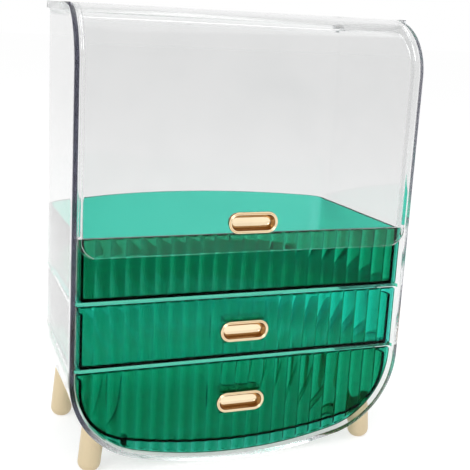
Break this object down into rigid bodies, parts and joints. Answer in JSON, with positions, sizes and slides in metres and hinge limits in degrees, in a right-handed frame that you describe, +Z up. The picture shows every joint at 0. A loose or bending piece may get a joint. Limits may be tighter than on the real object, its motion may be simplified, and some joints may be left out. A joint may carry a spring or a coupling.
{
  "type": "makeup organizer",
  "caption": "Countertop makeup organizer: a clear case on short feet, with a flip-up cover over a fluted green tray and fluted green drawers with gold pill-shaped pulls.",
  "frame": {"origin": "under the middle of the organizer's bounding box, on the surface that the feet stand on", "axes": "+Z up, the front with the drawers and the cover's pull faces -Y, +X to the right as seen from the front"},
  "size_m": [0.2414, 0.1554, 0.304],
  "materials": {
    "clear_plastic": "clear polished acrylic",
    "green_plastic": "translucent polished green",
    "polished_gold": "polished plating",
    "champagne_gold": "satin metallic coat",
    "steel": "plain"
  },
  "bodies": {
    "case": {"outer_case": "clear_plastic", "upper_tray": "green_plastic", "foot_front_left": "champagne_gold", "foot_front_right": "champagne_gold", "foot_rear_left": "champagne_gold", "foot_rear_right": "champagne_gold", "foot_screw_front_left": "steel", "foot_screw_front_right": "steel", "foot_screw_rear_left": "steel", "foot_screw_rear_right": "steel", "lid_hinge_pin_left": "steel", "lid_hinge_pin_right": "steel"},
    "lid": {"lid_cover": "clear_plastic", "lid_pull": "polished_gold"},
    "drawer_middle": {"middle_drawer": "green_plastic", "middle_drawer_pull": "polished_gold"},
    "drawer_lower": {"lower_drawer": "green_plastic", "lower_drawer_pull": "polished_gold"}
  },
  "joints": [
    {"name": "lid_hinge", "type": "hinge", "parent": "case", "child": "lid", "pos_m": [0, 0.02684, 0.3004], "axis": [-1, 0, 0], "range_deg": [0, 105]},
    {"name": "middle_drawer_slide", "type": "slide", "parent": "case", "child": "drawer_middle", "axis": [0, -1, 0], "range_m": [0, 0.105]},
    {"name": "lower_drawer_slide", "type": "slide", "parent": "case", "child": "drawer_lower", "axis": [0, -1, 0], "range_m": [0, 0.105]}
  ]
}
